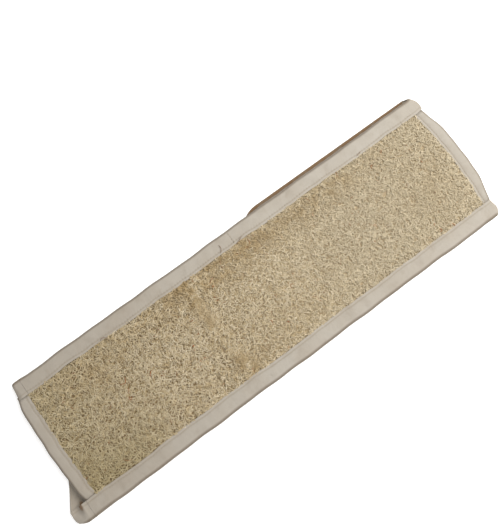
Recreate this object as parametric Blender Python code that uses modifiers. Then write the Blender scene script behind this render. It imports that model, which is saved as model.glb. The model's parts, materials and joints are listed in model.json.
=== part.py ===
"""Loofah back scrubber: a loofah face on a terry back, bound with cotton tape that runs on into a hand loop at each end.

It lies with the loofah up and both hand loops folded flat behind the panel. Metres, +X along the panel, +Z up.
The panel folds across its middle where the two loofah pieces meet, and each hand loop swings out about the
line that joins its two folds.
"""

import math

import bmesh
import bpy
from mathutils import Vector

# Panel, over the bindings
PANEL_LENGTH = 0.498
PANEL_WIDTH = 0.147
END_BULGE = 0.005  # how far the middle of an end stands out past its corners

# Cotton tape, folded in half along its length over the panel's edge
TAPE_THICKNESS = 0.0008
TAPE_FACE = 0.017  # width seen on a long side
END_TAPE_FACE = 0.014  # width seen on an end
TAPE_EDGE_ROUND = 0.0012

# Layers: pressed thin under the tape, full inside it
LOOFAH_MARGIN = 0.0026
LOOFAH_PAD = 0.0045
TERRY_MARGIN = 0.0020
TERRY_PAD = 0.0028
CLEARANCE = 0.0003

# Sewing thread
THREAD_RADIUS = 0.00025
SEAM_INSET = 0.0028  # from the tape's inner edge to its row of stitches

LAP_SEAM = 0.006  # from the fold to the stitches that join the two loofah pieces
TAPE_JOIN_X = 0.010  # where the tape's own two ends meet, on the upper edge

# Hand loops: the doubled tape, folded back behind the panel
STRAP_WIDTH = 0.0175
STRAP_THICKNESS = 0.0020
STRAP_TO_PANEL = 0.0019  # room behind the panel for a loop's own stitches and the panel's
LOOP_BEND = 0.025  # radius of the strap's middle line at the corners of the left loop
NOSE_BEND = 0.020  # the same at the nose of the right loop

# The fold across the panel and the folds of the loops
FOLD_OFF_MIDDLE = 0.0455
FOLD_BACK_DEG = 40
FOLD_IN_LEFT = (0.0067, -0.0035)  # from the middle of the panel's end in to the upper and the lower fold
FOLD_IN_RIGHT = (0.0120, 0.0120)
EDGE_IN_LEFT = (0.0084, 0.0084)  # from the panel's edge in to the middle of the folded strap
EDGE_IN_RIGHT = (0.0045, 0.0084)
LOOP_LEFT_TO_FOLD = 0.0202  # from the loop's far side to the fold across the panel
LOOP_LEFT_IN = (0.0155, 0.0115)  # from the panel's edge in to the loop at its far corners
LOOP_RIGHT_REACH = 0.2070  # from the loop's folds to its nose
LOOP_RIGHT_NOSE = 0.0430  # width across the nose
LOOP_RIGHT_RUN = 0.0240  # straight run from the lower fold, so that the loop clears the panel's end

# Worked out from the sizes above
HALF_LENGTH = PANEL_LENGTH / 2
HALF_WIDTH = PANEL_WIDTH / 2
FOLD_X = -FOLD_OFF_MIDDLE
LOOP_FOLD_LEFT = tuple(
    (FOLD_IN_LEFT[i] - HALF_LENGTH, sign * (HALF_WIDTH - EDGE_IN_LEFT[i])) for i, sign in ((0, 1), (1, -1))
)
LOOP_FOLD_RIGHT = tuple(
    (HALF_LENGTH - FOLD_IN_RIGHT[i], sign * (HALF_WIDTH - EDGE_IN_RIGHT[i])) for i, sign in ((0, 1), (1, -1))
)
BACK_Z = STRAP_THICKNESS + STRAP_TO_PANEL
TERRY_Z = BACK_Z + TAPE_THICKNESS + CLEARANCE
LOOFAH_Z = TERRY_Z + TERRY_MARGIN + CLEARANCE
FRONT_TAPE_Z = LOOFAH_Z + LOOFAH_MARGIN + CLEARANCE
FRONT_Z = FRONT_TAPE_Z + TAPE_THICKNESS
LOOP_AXIS_Z = FRONT_Z / 2
LOOP_RADIUS = FRONT_Z / 2
FOLD_Z = LOOFAH_Z + LOOFAH_PAD + 0.0005
TAPE_INNER_Y = HALF_WIDTH - TAPE_FACE
END_BAND_Y = TAPE_INNER_Y - CLEARANCE * 2
LOOP_CLEAR = LOOP_RADIUS + 2 * CLEARANCE  # what turns with a loop stays inside this radius

COTTON = ("cotton_tape", (0.62, 0.57, 0.49), 0.9)
LOOFAH = ("loofah", (0.56, 0.45, 0.27), 0.85)
TERRY = ("terry_cloth", (0.78, 0.75, 0.68), 0.95)
THREAD = ("sewing_thread", (0.70, 0.66, 0.58), 0.7)


def clear_scene():
    for obj in list(bpy.data.objects):
        bpy.data.objects.remove(obj, do_unlink=True)


def collection(name):
    made = bpy.data.collections.new(name)
    bpy.context.scene.collection.children.link(made)
    return made


def material(spec):
    name, colour, roughness = spec
    made = bpy.data.materials.new(name)
    made.use_nodes = True
    shader = made.node_tree.nodes["Principled BSDF"]
    shader.inputs["Base Color"].default_value = (*colour, 1)
    shader.inputs["Roughness"].default_value = roughness
    shader.inputs["Metallic"].default_value = 0
    return made


def empty(name, place, parent=None):
    """An empty at a place given in the panel's own frame."""
    made = bpy.data.objects.new(name, None)
    PARTS.objects.link(made)
    made["place"] = place
    made.parent = parent
    offset = Vector(parent["place"]) if parent else Vector()
    made.location = Vector(place) - offset
    return made


def part(name, mesh, spec, parent):
    """A sub-part whose mesh is in the panel's own frame, hung on the empty that carries it."""
    made = bpy.data.objects.new(name, mesh)
    PARTS.objects.link(made)
    made.parent = parent
    made.location = -Vector(parent["place"])
    mesh.materials.append(material((name + "_" + spec[0], *spec[1:])))
    return made


def slab_mesh(name, outline, low, high):
    """A flat piece of the given outline, from height low to height high."""
    data = bpy.data.curves.new(name, "CURVE")
    data.dimensions = "2D"
    data.fill_mode = "BOTH"
    data.extrude = (high - low) / 2
    spline = data.splines.new("POLY")
    spline.points.add(len(outline) - 1)
    for point, (x, y) in zip(spline.points, outline):
        point.co = (x, y, 0, 1)
    spline.use_cyclic_u = True
    return mesh_of(data, (low + high) / 2)


def mesh_of(data, height=0.0):
    """The welded mesh of a curve, raised to a height."""
    guide = bpy.data.objects.new("guide", data)
    bpy.context.scene.collection.objects.link(guide)
    graph = bpy.context.evaluated_depsgraph_get()
    mesh = bpy.data.meshes.new_from_object(guide.evaluated_get(graph))
    bpy.data.objects.remove(guide, do_unlink=True)
    work = bmesh.new()
    work.from_mesh(mesh)
    bmesh.ops.remove_doubles(work, verts=work.verts, dist=1e-6)
    bmesh.ops.translate(work, verts=work.verts, vec=(0, 0, height))
    bmesh.ops.recalc_face_normals(work, faces=work.faces)
    work.to_mesh(mesh)
    work.free()
    return mesh


def cutter(name, mesh):
    made = bpy.data.objects.new(name, mesh)
    CUTTERS.objects.link(made)
    made.hide_render = True
    made.display_type = "WIRE"
    return made


def combine(obj, other, operation):
    """A Boolean on obj by a cutter, which stands where the panel stands."""
    if other.parent is None:
        other.parent = ROOT
    modifier = obj.modifiers.new(operation.lower(), "BOOLEAN")
    modifier.operation = operation
    modifier.object = other
    modifier.solver = "EXACT"


def sheet_mesh(name, rows):
    """An open surface through rows of points."""
    work = bmesh.new()
    grid = [[work.verts.new(p) for p in row] for row in rows]
    for near, far in zip(grid, grid[1:]):
        for i in range(len(near) - 1):
            work.faces.new((near[i], near[i + 1], far[i + 1], far[i]))
    mesh = bpy.data.meshes.new(name)
    work.to_mesh(mesh)
    work.free()
    return mesh


def thicken(obj, thickness):
    modifier = obj.modifiers.new("thickness", "SOLIDIFY")
    modifier.thickness = thickness
    modifier.offset = 0
    modifier.use_even_offset = True
    modifier.use_quality_normals = True


def end_x(side, y, inset=0.0):
    """x of an end's outline at y: the end bulges outwards along a shallow arc."""
    return side * (HALF_LENGTH - END_BULGE * (y / HALF_WIDTH) ** 2 - inset)


def end_arc(side, reach, inset, steps=10):
    """Points along an end, from y = -reach to y = reach."""
    ys = [reach * (2 * i / steps - 1) for i in range(steps + 1)]
    return [(end_x(side, y, inset), y) for y in ys]


def loop_folds(side):
    return LOOP_FOLD_LEFT if side < 0 else LOOP_FOLD_RIGHT


def fold_lean(side):
    """How far half the strap's width carries a slanting fold along x."""
    (ux, uy), (lx, ly) = loop_folds(side)
    return abs((ux - lx) / (uy - ly)) * STRAP_WIDTH / 2


def corner_x(side, y_sign):
    """Where the bound long edges stop, clear of the loop's fold at that corner."""
    upper, lower = loop_folds(side)
    fold = upper if y_sign > 0 else lower
    return fold[0] - side * (LOOP_CLEAR + fold_lean(side))


def margin_outline(side, edge_inset):
    """Half a layer as it is cut: notched at its corners for the folds of the hand loop."""
    w = HALF_WIDTH - edge_inset
    arc = end_arc(side, END_BAND_Y - TAPE_THICKNESS, edge_inset)
    low_x, high_x = (side * min(abs(corner_x(side, s)), abs(arc[0][0])) for s in (-1, 1))
    points = [(FOLD_X, -w), (low_x, -w), (low_x, arc[0][1]), *arc, (high_x, arc[-1][1]), (high_x, w), (FOLD_X, w)]
    return [p for p, following in zip(points, points[1:] + points[:1]) if p != following]


def pad_outline(side):
    """The part of a layer that stands up inside the bindings."""
    w = TAPE_INNER_Y - CLEARANCE * 2
    inset = END_TAPE_FACE + CLEARANCE * 2
    return [(FOLD_X, -w), *end_arc(side, w, inset), (FOLD_X, w)]


def layer(name, side, margin, pad, spec, parent):
    """A loofah or terry layer: its pressed margin with its full pad, cut back at the fold."""
    edge = TAPE_THICKNESS + TAPE_EDGE_ROUND
    body = part(name, slab_mesh(name, margin_outline(side, edge), *margin), spec, parent)
    raised = cutter(name + "_pad", slab_mesh(name + "_pad", pad_outline(side), *pad))
    combine(body, raised, "UNION")
    combine(body, FOLD_WEDGE, "DIFFERENCE")
    return body


def tape_section(reach):
    """Middle line of the folded tape: (distance in from the edge, height), front to back."""
    t, r = TAPE_THICKNESS / 2, TAPE_EDGE_ROUND
    front, back = FRONT_Z - t, BACK_Z + t
    return [
        (reach, front), (t + r, front), (t, front - r), (t, back + r), (t + r, back), (reach, back),
    ]


def long_binding(name, side, y_sign, parent):
    rows = []
    for x in (FOLD_X, corner_x(side, y_sign)):
        rows.append([(x, y_sign * (HALF_WIDTH - d), z) for d, z in tape_section(TAPE_FACE)])
    body = part(name, sheet_mesh(name, rows), COTTON, parent)
    thicken(body, TAPE_THICKNESS)
    combine(body, FOLD_WEDGE, "DIFFERENCE")


def end_binding(name, side, parent):
    rows = []
    for _, y in end_arc(side, END_BAND_Y, 0):
        rows.append([(end_x(side, y, d), y, z) for d, z in tape_section(END_TAPE_FACE)])
    body = part(name, sheet_mesh(name, rows), COTTON, parent)
    thicken(body, TAPE_THICKNESS)


def thread(name, points, parent):
    """A row of stitches as one plain thread."""
    data = bpy.data.curves.new(name, "CURVE")
    data.dimensions = "3D"
    data.bevel_depth = THREAD_RADIUS
    data.bevel_resolution = 1
    data.use_fill_caps = True
    spline = data.splines.new("POLY")
    spline.points.add(len(points) - 1)
    for point, place in zip(spline.points, points):
        point.co = (*place, 1)
    part(name, mesh_of(data), THREAD, parent)


def fold_gap(z):
    """How far the fold's bevel has cut back at height z, with a little room."""
    return CLEARANCE + (FOLD_Z - z) * math.tan(math.radians(FOLD_BACK_DEG / 2)) + THREAD_RADIUS * 2


def panel_threads(side, half, parent):
    """The rows of stitches that hold the tape, front and back, along the two long edges and the end."""
    seam_y = TAPE_INNER_Y + SEAM_INSET
    faces = {
        "needle_thread": FRONT_Z + CLEARANCE + THREAD_RADIUS,
        "bobbin_thread": BACK_Z - CLEARANCE - THREAD_RADIUS,
    }
    for kind, z in faces.items():
        for edge, y_sign in (("upper", 1), ("lower", -1)):
            near = FOLD_X + side * fold_gap(z)
            far = corner_x(side, y_sign)
            ends = [(near, y_sign * seam_y, z), (far, y_sign * seam_y, z)]
            thread(f"{kind}_{edge}_{half}", ends, parent)
        row = end_arc(side, END_BAND_Y - CLEARANCE, END_TAPE_FACE - SEAM_INSET)
        thread(f"{kind}_end_{half}", [(x, y, z) for x, y in row], parent)


def rounded(corners, radius, step=math.radians(15)):
    """A polyline through corners in the plane, with an arc of this radius at each inner corner."""
    path = [Vector(corners[0])]
    for before, corner, after in zip(corners, corners[1:], corners[2:]):
        corner = Vector(corner)
        a = (Vector(before) - corner).normalized()
        b = (Vector(after) - corner).normalized()
        opening = a.angle(b)
        turn = math.pi - opening
        reach = radius / math.tan(opening / 2)
        centre = corner + (a + b).normalized() * radius / math.sin(opening / 2)
        start = corner + a * reach - centre
        sign = 1 if a.cross(b) < 0 else -1
        count = max(2, math.ceil(turn / step))
        for i in range(count + 1):
            angle = sign * turn * i / count
            c, s = math.cos(angle), math.sin(angle)
            path.append(centre + Vector((start.x * c - start.y * s, start.x * s + start.y * c)))
    path.append(Vector(corners[-1]))
    return path


def loop_corners(side):
    """Middle line of a hand loop behind the panel, from its upper fold to its lower fold."""
    upper, lower = loop_folds(side)
    if side < 0:
        far = FOLD_X - LOOP_LEFT_TO_FOLD
        return [upper, (far, HALF_WIDTH - LOOP_LEFT_IN[0]), (far, LOOP_LEFT_IN[1] - HALF_WIDTH), lower]
    far = upper[0] - LOOP_RIGHT_REACH
    turn = (lower[0] - LOOP_RIGHT_RUN, lower[1])
    return [upper, (far, upper[1]), (far, upper[1] - LOOP_RIGHT_NOSE), turn, lower]


def strap_rows(side, height, offset, width):
    """Edges of a band of the strap along its whole way: round the upper fold, behind the panel, round the
    lower fold. height is the band's middle above the strap's underside, offset its place across the strap."""
    upper, lower = (Vector(p) for p in loop_folds(side))
    along = (upper - lower).normalized()
    out = Vector((along.y, -along.x)) * side
    path = rounded(loop_corners(side), LOOP_BEND if side < 0 else NOSE_BEND)
    radius = LOOP_AXIS_Z - height
    rows = []

    def row(place, across, z):
        middle = place + across * offset
        ends = (middle + across * width / 2, middle - across * width / 2)
        rows.append([(p.x, p.y, z) for p in ends])

    turns = [math.radians(a) for a in range(-40, 180, 15)]
    for angle in turns:
        place = upper + out * radius * math.sin(angle)
        row(place, along, LOOP_AXIS_Z + radius * math.cos(angle))
    row(upper, along, height)
    for before, here, after in zip(path, path[1:], path[2:]):
        heading = ((here - before).normalized() + (after - here).normalized()).normalized()
        across = Vector((-heading.y, heading.x)) * (1 if side < 0 else -1)
        row(here, across, height)
    row(lower, -along, height)
    for angle in reversed(turns):
        place = lower + out * radius * math.sin(angle)
        row(place, -along, LOOP_AXIS_Z + radius * math.cos(angle))
    return rows


def hand_loop(side, half, parent):
    rows = strap_rows(side, STRAP_THICKNESS / 2, 0, STRAP_WIDTH)
    name = f"hand_loop_{half}"
    thicken(part(name, sheet_mesh(name, rows), COTTON, parent), STRAP_THICKNESS)
    seam = THREAD_RADIUS * 2
    inner = STRAP_WIDTH / 2 - SEAM_INSET
    height = STRAP_THICKNESS + CLEARANCE + THREAD_RADIUS
    rows = strap_rows(side, height, -inner, seam)
    flat = [row for row in rows if row[0][2] < height + CLEARANCE]
    name = f"loop_thread_{half}"
    thicken(part(name, sheet_mesh(name, flat), THREAD, parent), THREAD_RADIUS * 2)


def fold_wedge():
    """The room that the panel's two halves need to bend backwards, widening downwards from the fold line."""
    work = bmesh.new()
    bmesh.ops.create_cube(work, size=1)
    high, low = FOLD_Z + 0.004, -0.004
    slope = math.tan(math.radians(FOLD_BACK_DEG / 2))
    for vert in work.verts:
        z = high if vert.co.z > 0 else low
        half = CLEARANCE + max(0.0, FOLD_Z - z) * slope
        vert.co = (FOLD_X + math.copysign(half, vert.co.x), vert.co.y * PANEL_WIDTH * 1.2, z)
    mesh = bpy.data.meshes.new("fold_wedge")
    work.to_mesh(mesh)
    work.free()
    return cutter("fold_wedge", mesh)


def panel_half(side, half, parent):
    loofah_top = LOOFAH_Z + LOOFAH_PAD
    terry_low = TERRY_Z + TERRY_MARGIN - TERRY_PAD
    layer(f"loofah_{half}", side, (LOOFAH_Z, LOOFAH_Z + LOOFAH_MARGIN),
          (LOOFAH_Z + LOOFAH_MARGIN / 4, loofah_top), LOOFAH, parent)
    layer(f"terry_back_{half}", side, (TERRY_Z, TERRY_Z + TERRY_MARGIN),
          (terry_low, TERRY_Z + TERRY_MARGIN * 3 / 4), TERRY, parent)
    long_binding(f"binding_upper_{half}", side, 1, parent)
    long_binding(f"binding_lower_{half}", side, -1, parent)
    end_binding(f"end_binding_{half}", side, parent)
    panel_threads(side, half, parent)


def outer_reach():
    """Lowest and highest x and y of the whole object in the panel's frame."""
    left = LOOP_FOLD_LEFT[1][0] - LOOP_RADIUS - fold_lean(-1)
    low = min(LOOP_FOLD_LEFT[1][1], LOOP_FOLD_RIGHT[1][1]) - STRAP_WIDTH / 2
    high = max(LOOP_FOLD_LEFT[0][1], LOOP_FOLD_RIGHT[0][1]) + STRAP_WIDTH / 2
    return left, HALF_LENGTH, low, high


clear_scene()
PARTS = collection("loofah_back_scrubber")
CUTTERS = collection("cutters")
x_low, x_high, y_low, y_high = outer_reach()
ROOT = empty("scrubber", (0, 0, 0))
ROOT.location = (-(x_low + x_high) / 2, -(y_low + y_high) / 2, 0)
FOLD = empty("panel_fold_axis", (FOLD_X, 0, FOLD_Z), ROOT)
HINGES = {}
for hinge_side, hinge_half, carrier in ((-1, "left", ROOT), (1, "right", FOLD)):
    fold_upper, fold_lower = loop_folds(hinge_side)
    middle_x = (fold_upper[0] + fold_lower[0]) / 2
    middle_y = (fold_upper[1] + fold_lower[1]) / 2
    HINGES[hinge_half] = empty(f"loop_{hinge_half}_axis", (middle_x, middle_y, LOOP_AXIS_Z), carrier)
FOLD_WEDGE = fold_wedge()
panel_half(-1, "left", ROOT)
panel_half(1, "right", FOLD)
hand_loop(-1, "left", HINGES["left"])
hand_loop(1, "right", HINGES["right"])


# The thread that joins the two loofah pieces beside the fold, and the one that joins the ends of the tape
join_x = FOLD_X - LAP_SEAM
join_y = TAPE_INNER_Y - 4 * CLEARANCE
join_z = LOOFAH_Z + LOOFAH_PAD + CLEARANCE + THREAD_RADIUS
thread("loofah_join_thread", [(join_x, -join_y, join_z), (join_x, join_y, join_z)], ROOT)
tape_z = FRONT_Z + CLEARANCE + THREAD_RADIUS
tape_low = TAPE_INNER_Y + SEAM_INSET + 4 * THREAD_RADIUS
tape_high = HALF_WIDTH - TAPE_EDGE_ROUND * 2
thread("tape_join_thread", [(TAPE_JOIN_X, tape_low, tape_z), (TAPE_JOIN_X, tape_high, tape_z)], FOLD)
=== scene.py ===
"""The looks of the loofah back scrubber: its fibre, cotton tape, stitches, hand loops and towelling back."""

import json
import math

import bpy
import numpy as np
from mathutils import Matrix, Vector


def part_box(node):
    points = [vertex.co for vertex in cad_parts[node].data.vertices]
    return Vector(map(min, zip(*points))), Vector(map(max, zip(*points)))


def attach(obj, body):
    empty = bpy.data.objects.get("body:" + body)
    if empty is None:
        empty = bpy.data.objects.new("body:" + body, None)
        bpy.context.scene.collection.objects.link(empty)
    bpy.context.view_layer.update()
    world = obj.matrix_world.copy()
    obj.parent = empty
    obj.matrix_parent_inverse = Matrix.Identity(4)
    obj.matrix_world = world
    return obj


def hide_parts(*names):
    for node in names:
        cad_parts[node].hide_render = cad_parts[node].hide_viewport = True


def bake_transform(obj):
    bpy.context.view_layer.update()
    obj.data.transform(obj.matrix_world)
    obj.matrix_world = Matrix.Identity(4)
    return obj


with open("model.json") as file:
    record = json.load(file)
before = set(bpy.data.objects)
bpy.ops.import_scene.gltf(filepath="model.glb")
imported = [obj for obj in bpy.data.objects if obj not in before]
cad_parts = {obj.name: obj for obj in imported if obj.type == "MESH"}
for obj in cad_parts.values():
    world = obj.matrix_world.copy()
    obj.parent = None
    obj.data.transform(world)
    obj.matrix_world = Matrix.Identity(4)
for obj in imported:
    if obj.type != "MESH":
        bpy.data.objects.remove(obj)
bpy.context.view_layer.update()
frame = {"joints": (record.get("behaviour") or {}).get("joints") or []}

# ---------------------------------------------------------------- sizes
# In millimetres, in the panel's own frame. Its origin is the middle of the panel, on the surface that the
# object lies on.


def mm(corner):
    return np.array(corner) * 1000


END_LEFT, END_RIGHT = (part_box(f"end_binding_{half}") for half in ("left", "right"))
UPPER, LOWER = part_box("binding_upper_right"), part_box("binding_lower_right")
CENTRE = np.array([END_LEFT[0].x + END_RIGHT[1].x, LOWER[0].y + UPPER[1].y, 0]) * 500
HALF_LENGTH = mm(END_RIGHT[1])[0] - CENTRE[0]
HALF_WIDTH = mm(UPPER[1])[1] - CENTRE[1]
TAPE_FACE = mm(UPPER[1] - UPPER[0])[1]
BACK, FRONT = mm(UPPER[0])[2], mm(UPPER[1])[2]
LOOFAH_TOP = mm(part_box("loofah_right")[1])[2]
TERRY_LOW = mm(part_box("terry_back_right")[0])[2]
TAPE_JOIN_X = 10.0
STRAP_WIDTH = 17.5
STRAP_THICKNESS = 2.0
END_FACE = 14.0
SEAM_INSET = 2.8  # from a tape's inner edge to its seam
TAPE = 0.85  # thickness of one layer of tape
INNER_Y = HALF_WIDTH - TAPE_FACE
JOINTS = {j["name"]: j for j in frame["joints"]}
FOLD_X = JOINTS["panel_fold"]["pos_m"][0] * 1000 - CENTRE[0]
FOLD_REACH = 12.0  # how far from the fold line the panel bends when it is folded
LAP_LEFT, LAP_RIGHT = FOLD_X - 14, FOLD_X + 8  # the band where the two loofah pieces overlap
TURN_RADIUS = (FRONT - STRAP_THICKNESS) / 2
TURN_Z = FRONT / 2


def place(points):
    """Points of the panel's frame in millimetres, in the object's frame in metres."""
    return (np.asarray(points, float) + CENTRE) / 1000


# ---------------------------------------------------------------- camera and lights

TILT, TURN, ROLL = math.radians(80.09), math.radians(235.92), math.radians(-2.345)
LOOK_AT = (8.75, 31.1, FRONT)
CAMERA_REACH = 675.8
LIGHT_SIZE = 1.0
ROOM_LIGHT, ROOM_SEEN = 0.54, 1.0  # how bright the room is as light, and as the background behind the floor


def camera():
    away = Vector((math.cos(TILT) * math.cos(TURN), math.cos(TILT) * math.sin(TURN), math.sin(TILT)))
    right = (-away).cross(Vector((0, 0, 1))).normalized()
    up = right.cross(-away)
    rolled_right = right * math.cos(ROLL) + up * math.sin(ROLL)
    rolled_up = up * math.cos(ROLL) - right * math.sin(ROLL)
    level = Matrix((rolled_right, rolled_up, away))
    data = bpy.data.cameras.new("camera")
    data.lens, data.sensor_width, data.sensor_fit = 50, 36, "HORIZONTAL"
    made = bpy.data.objects.new("camera", data)
    bpy.context.scene.collection.objects.link(made)
    made.matrix_world = Matrix.Translation(Vector(place(LOOK_AT)) + away * CAMERA_REACH / 1000) @ (
        level.transposed().to_4x4()
    )
    bpy.context.scene.camera = made


def area_light(name, where, watts, colour):
    data = bpy.data.lights.new(name, "AREA")
    data.shape, data.size, data.energy, data.color = "DISK", LIGHT_SIZE, watts, colour
    made = bpy.data.objects.new(name, data)
    bpy.context.scene.collection.objects.link(made)
    made.location = where
    made.rotation_euler = (-Vector(where)).to_track_quat("-Z", "Y").to_euler()


def lights():
    area_light("key", (0.70, -0.02, 0.95), 17.5, (1.0, 0.99, 0.975))
    area_light("fill", (-0.65, -0.75, 0.95), 2.4, (1.0, 0.97, 0.94))
    world = bpy.data.worlds.new("studio")
    world.use_nodes = True
    tree = world.node_tree
    seen = tree.nodes.new("ShaderNodeLightPath").outputs["Is Camera Ray"]
    strength = tree.nodes.new("ShaderNodeMapRange")
    strength.inputs["To Min"].default_value = ROOM_LIGHT
    strength.inputs["To Max"].default_value = ROOM_SEEN
    tree.links.new(seen, strength.inputs["Value"])
    tree.nodes["Background"].inputs["Color"].default_value = (1, 1, 1, 1)
    tree.links.new(strength.outputs["Result"], tree.nodes["Background"].inputs["Strength"])
    bpy.context.scene.world = world
    bpy.context.scene.view_settings.view_transform = "Standard"


camera()
lights()

# ---------------------------------------------------------------- materials


class Wire:
    """A number on its way through a material."""

    def __init__(self, tree, socket):
        self.tree, self.socket = tree, socket

    def maths(self, operation, *values):
        node = self.tree.nodes.new("ShaderNodeMath")
        node.operation = operation
        for place_in, value in zip(node.inputs, values):
            if isinstance(value, Wire):
                self.tree.links.new(value.socket, place_in)
            else:
                place_in.default_value = value
        return Wire(self.tree, node.outputs[0])

    def __add__(self, other):
        return self.maths("ADD", self, other)

    def __sub__(self, other):
        return self.maths("SUBTRACT", self, other)

    def __rsub__(self, other):
        return self.maths("SUBTRACT", other, self)

    def __mul__(self, other):
        return self.maths("MULTIPLY", self, other)

    def __truediv__(self, other):
        return self.maths("DIVIDE", self, other)

    __radd__, __rmul__ = __add__, __mul__

    def sine(self):
        return self.maths("SINE", self)

    def ramp(self, low, high):
        """0 below low, 1 above high and even in between."""
        share = (self - low) / (high - low)
        return share.maths("MINIMUM", share.maths("MAXIMUM", share, 0.0), 1.0)


class Finish:
    """A material with the one method that adds any node."""

    def __init__(self, name, roughness):
        self.material = bpy.data.materials.new(name)
        self.material.use_nodes = True
        self.tree = self.material.node_tree
        self.shader = self.tree.nodes["Principled BSDF"]
        self.shader.inputs["Roughness"].default_value = roughness
        self.shader.inputs["Specular IOR Level"].default_value = 0.3

    def node(self, kind, settings=(), sockets=()):
        node = self.tree.nodes.new(kind)
        for key, value in dict(settings).items():
            setattr(node, key, value)
        for key, value in dict(sockets).items():
            if hasattr(value, "socket"):
                value = value.socket
            if isinstance(value, bpy.types.NodeSocket):
                self.tree.links.new(value, node.inputs[key])
            else:
                node.inputs[key].default_value = value
        return node

    def attribute(self, name):
        return Wire(self.tree, self.node("ShaderNodeAttribute", {"attribute_name": name}).outputs["Fac"])

    def spots(self, scale, detail=2.0, roughness=0.5, distortion=0.0):
        """Soft noise with this many spots to a metre."""
        where = self.node("ShaderNodeTexCoord").outputs["Object"]
        sockets = {"Vector": where, "Scale": scale, "Detail": detail, "Roughness": roughness,
                   "Distortion": distortion}
        return Wire(self.tree, self.node("ShaderNodeTexNoise", (), sockets).outputs["Fac"])

    def mix(self, share, low, high):
        """The colour low where share is 0 and high where it is 1."""
        node = self.node("ShaderNodeMix", {"data_type": "RGBA"})
        for socket, value in ((node.inputs[0], share), (node.inputs[6], low), (node.inputs[7], high)):
            if hasattr(value, "socket"):
                value = value.socket
            if isinstance(value, bpy.types.NodeSocket):
                self.tree.links.new(value, socket)
            else:
                socket.default_value = (*value, 1) if isinstance(value, tuple) else value
        return node.outputs[2]

    def colour(self, socket):
        self.tree.links.new(socket, self.shader.inputs["Base Color"])

    def bump(self, height, depth_mm):
        sockets = {"Height": height, "Strength": 1.0, "Distance": depth_mm / 1000}
        node = self.node("ShaderNodeBump", (), sockets)
        self.tree.links.new(node.outputs["Normal"], self.shader.inputs["Normal"])


# The first colour is painted shade for the tape's rounded fold edges. The second is the brown of real stains,
# and of painted shade with grime.
FOLD_EDGE_SHADE, STAIN_AND_SHADE_BROWN = (0.13, 0.10, 0.068), (0.17, 0.105, 0.055)


def cotton_finish(name, light, dark, yellowed):
    """Twill cotton tape: fine ribs along and across it, a little yellowed and grubby in patches."""
    finish = Finish(name, 0.92)
    run, across = finish.attribute("run"), finish.attribute("across")
    twill = (run * 5.2 + across * 5.2).sine() * (across * 8.4).sine()
    fuzz = finish.spots(2600, 3.0, 0.6)
    patches = finish.spots(24, 3.0, 0.55).ramp(0.38, 0.68)
    grub = finish.spots(70, 4.0, 0.6, 0.4).ramp(0.5, 0.8)
    base = finish.mix(patches * 0.8, light, yellowed)
    base = finish.mix(grub * 0.35, base, dark)
    # Darker where the strap turns round a corner and runs under the panel, which is painted shade, and where
    # the tape greys towards the left end.
    base = finish.mix(finish.attribute("marks_and_shade") * 0.6, base, dark)
    # Painted shade: the tape darkens towards its rounded fold edges.
    base = finish.mix((1 - across.ramp(1.3, 3.4)) * 0.85, base, FOLD_EDGE_SHADE)
    past_seam = finish.attribute("inset") - SEAM_INSET
    from_seam = past_seam.maths("ABSOLUTE", past_seam)
    base = finish.mix((1 - from_seam.ramp(0.25, 1.1)) * 0.3, base, dark)
    base = finish.mix((twill * 0.5 + 0.5) * 0.1 + fuzz * 0.14, base, dark)
    # Brown above 1.1: a real stain in the lower left corner, and painted shade with grime on the right strap's
    # edge that shows past the upper edge.
    base = finish.mix(finish.attribute("marks_and_shade").ramp(1.1, 2.0), base, STAIN_AND_SHADE_BROWN)
    finish.colour(base)
    finish.bump(twill * 0.3 + fuzz * 0.7 + finish.spots(130, 2.0) * 5, 0.14)
    finish.shader.inputs["Sheen Weight"].default_value = 0.15
    return finish.material


def thread_finish(name, light, dark):
    finish = Finish(name, 0.75)
    twist = (finish.attribute("run") * 9.0 + finish.attribute("across") * 6.0).sine() * 0.5 + 0.5
    finish.colour(finish.mix(twist * 0.5, light, dark))
    finish.bump(twist, 0.08)
    return finish.material


STRAW, TAN, OLIVE = (0.68, 0.585, 0.42), (0.47, 0.345, 0.17), (0.345, 0.275, 0.137)
BROWN, RUST, PALE = (0.38, 0.265, 0.125), (0.33, 0.13, 0.05), (0.56, 0.482, 0.345)


def fibre_finish():
    """Dried loofah: straw to tan, greener and browner in wide patches, each fibre with a tone of its own,
    lowered by painted shade on the deeper fibres.
    """
    finish = Finish("loofah_fibre", 0.7)
    tone, run = finish.attribute("tone"), finish.attribute("run")
    patches = finish.spots(75, 4.0, 0.65, 0.6)
    browner = finish.attribute("brown") * patches.ramp(0.36, 0.6) * 1.3
    greener = finish.attribute("green")
    streaks = finish.spots(900, 2.0, 0.6)
    base = finish.mix(tone.ramp(0.0, 0.75), TAN, STRAW)
    base = finish.mix((1 - tone).ramp(0.72, 1.0) * 0.6, base, BROWN)
    base = finish.mix(finish.attribute("pale"), base, PALE)
    base = finish.mix(greener, base, OLIVE)
    base = finish.mix(browner, base, BROWN)
    base = finish.mix(tone.ramp(1.2, 1.3), base, RUST)
    base = finish.mix(streaks * 0.22, base, OLIVE)
    finish.colour(base)
    finish.bump((run * 14.0).sine() * 0.3 + streaks, 0.06)
    return finish.material


def bed_finish():
    """The matted fibre underneath, dark in its pits, with painted shade that darkens it further where it lies
    deeper, under the coarser fibre.
    """
    finish = Finish("loofah_bed", 0.85)
    mat = finish.spots(420, 5.0, 0.7, 1.5)
    base = finish.mix(mat.ramp(0.35, 0.65), (0.33, 0.245, 0.14), (0.48, 0.39, 0.25))
    # Painted shade: darker where the mat lies deeper.
    base = finish.mix(finish.attribute("deep"), base, (0.14, 0.082, 0.025))
    finish.colour(base)
    finish.bump(mat, 0.6)
    return finish.material


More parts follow.
